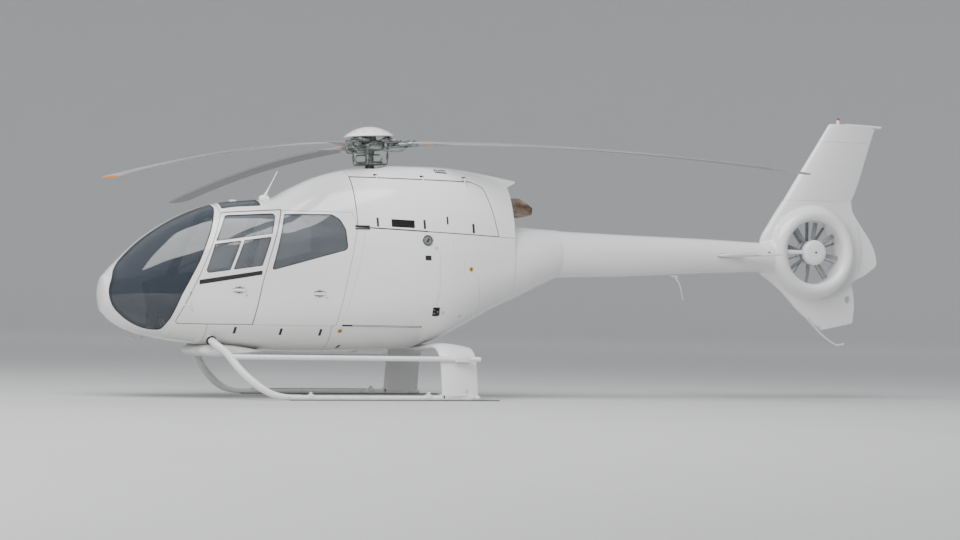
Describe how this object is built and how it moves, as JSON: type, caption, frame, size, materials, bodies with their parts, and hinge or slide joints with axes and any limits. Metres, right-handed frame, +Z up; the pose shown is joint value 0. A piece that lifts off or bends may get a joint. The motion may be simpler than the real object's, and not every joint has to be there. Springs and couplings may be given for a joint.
{
  "type": "light helicopter with a ducted tail fan",
  "caption": "Light helicopter on skids with a glazed cabin, hinged front doors, a drooping bladed main rotor and a fan ducted in its fin.",
  "frame": {"origin": "middle of the load hook plate's flat underside, under the rotor mast, 0.5 m above the floor that the skids stand on", "axes": "+X aft along the fuselage, +Y to starboard, +Z up; the nose is at -X"},
  "size_m": [10.2585, 8.3535, 3.4],
  "materials": {
    "white_paint": "gloss white paint",
    "skid_paint": "satin white paint on metal tube",
    "tinted_glass": "dark blue-grey acrylic",
    "blade_grey": "painted composite, grey",
    "hub_metal": "greenish grey primed metal",
    "fan_metal": "grey satin metal",
    "burnt_steel": "steel browned by heat",
    "cast_metal": "cast metal",
    "dark_trim": "matt black trim",
    "seat_cloth": "grey woven cloth"
  },
  "bodies": {
    "root": {"nose_frame": "white_paint", "belly": "white_paint", "roof": "white_paint", "windscreen_port": "tinted_glass", "windscreen_starboard": "tinted_glass", "roof_window_port": "tinted_glass", "roof_window_starboard": "tinted_glass", "sliding_door": "white_paint", "sliding_door_glass": "tinted_glass", "side_panel": "white_paint", "side_panel_glass": "tinted_glass", "rear_fuselage": "white_paint", "front_cowl": "white_paint", "cowl_spine": "white_paint", "engine": "cast_metal", "main_gearbox": "cast_metal", "exhaust_pipe": "burnt_steel", "front_seat_port": "seat_cloth", "front_seat_starboard": "seat_cloth", "rear_bench": "seat_cloth", "instrument_panel": "dark_trim", "load_hook_plate": "skid_paint", "tail_cone": "white_paint", "stabiliser": "white_paint", "tail_boom": "white_paint", "fan_housing": "white_paint", "upper_fin": "white_paint", "fin_cap": "white_paint", "tail_skid": "skid_paint", "fan_vanes": "white_paint", "skid_port": "skid_paint", "skid_starboard": "skid_paint", "rear_legs": "skid_paint", "step_rail_port": "skid_paint", "step_rail_starboard": "skid_paint", "front_tube_fairing": "skid_paint"},
    "main_rotor": {"rotor_mast": "hub_metal", "rotor_hub": "hub_metal", "hub_cap": "white_paint", "swashplate": "hub_metal", "rotor_blade_1": "blade_grey", "rotor_blade_2": "blade_grey", "rotor_blade_3": "blade_grey"},
    "tail_rotor": {"tail_fan": "fan_metal"},
    "front_door_port_body": {"front_door_port": "white_paint", "front_door_glass_port": "tinted_glass"},
    "front_door_starboard_body": {"front_door_starboard": "white_paint", "front_door_glass_starboard": "tinted_glass"},
    "cowl_door_port_body": {"cowl_door_port": "white_paint"},
    "cowl_door_starboard_body": {"cowl_door_starboard": "white_paint"},
    "baggage_door_body": {"baggage_door": "white_paint"}
  },
  "joints": [
    {"name": "main_rotor_spin", "type": "hinge", "parent": "root", "child": "main_rotor", "pos_m": [-0.01602, 0, 2.33962], "axis": [-0.0471, 0, 0.9989], "continuous": true},
    {"name": "tail_fan_spin", "type": "hinge", "parent": "root", "child": "tail_rotor", "pos_m": [5.57, 0, 1.256], "axis": [0, 1, 0], "continuous": true},
    {"name": "front_door_port_swing", "type": "hinge", "parent": "root", "child": "front_door_port_body", "pos_m": [-2.223, -0.7, 0.58], "axis": [0, -0.0995, -0.995], "range_deg": [0, 75]},
    {"name": "front_door_starboard_swing", "type": "hinge", "parent": "root", "child": "front_door_starboard_body", "pos_m": [-2.223, 0.7, 0.58], "axis": [0, -0.0995, 0.995], "range_deg": [0, 75]},
    {"name": "cowl_door_port_lift", "type": "hinge", "parent": "root", "child": "cowl_door_port_body", "pos_m": [0.5, -0.34, 1.993], "axis": [-1, 0, 0], "range_deg": [0, 80]},
    {"name": "cowl_door_starboard_lift", "type": "hinge", "parent": "root", "child": "cowl_door_starboard_body", "pos_m": [0.5, 0.34, 1.993], "axis": [1, 0, 0], "range_deg": [0, 80]},
    {"name": "baggage_door_swing", "type": "hinge", "parent": "root", "child": "baggage_door_body", "pos_m": [-0.24, 0.762, 0.825], "axis": [0, 0, 1], "range_deg": [0, 90]}
  ]
}
